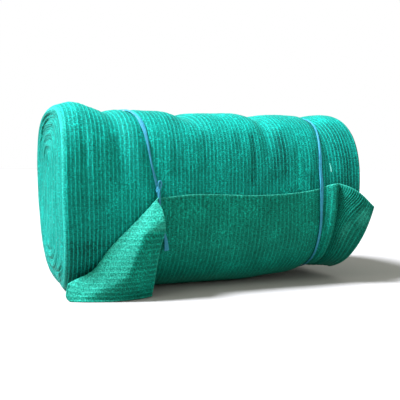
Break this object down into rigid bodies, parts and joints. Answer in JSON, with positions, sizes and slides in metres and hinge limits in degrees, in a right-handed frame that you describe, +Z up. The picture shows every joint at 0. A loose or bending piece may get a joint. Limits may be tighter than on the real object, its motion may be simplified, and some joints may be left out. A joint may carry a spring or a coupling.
{
  "type": "roll of scaffold netting",
  "caption": "Roll of green knitted scaffold netting lying on its side, held by two blue twine ties, its loose end up the front with one corner folded over.",
  "frame": {"origin": "middle of the flat strip that the roll rests on, half way along the roll", "axes": "+X along the roll, towards the end where the loose corner sticks out; -Y towards the front, where the loose end lies; +Z up"},
  "size_m": [0.7729, 0.4662, 0.4438],
  "materials": {
    "green_net": "matt knitted polyethylene net",
    "green_net_end": "matt knitted polyethylene net, one layer",
    "blue_twine": "slightly shiny film twine"
  },
  "bodies": {
    "root": {"net_roll": "green_net", "loose_end": "green_net_end", "left_tie": "blue_twine", "right_tie": "blue_twine"}
  },
  "joints": []
}
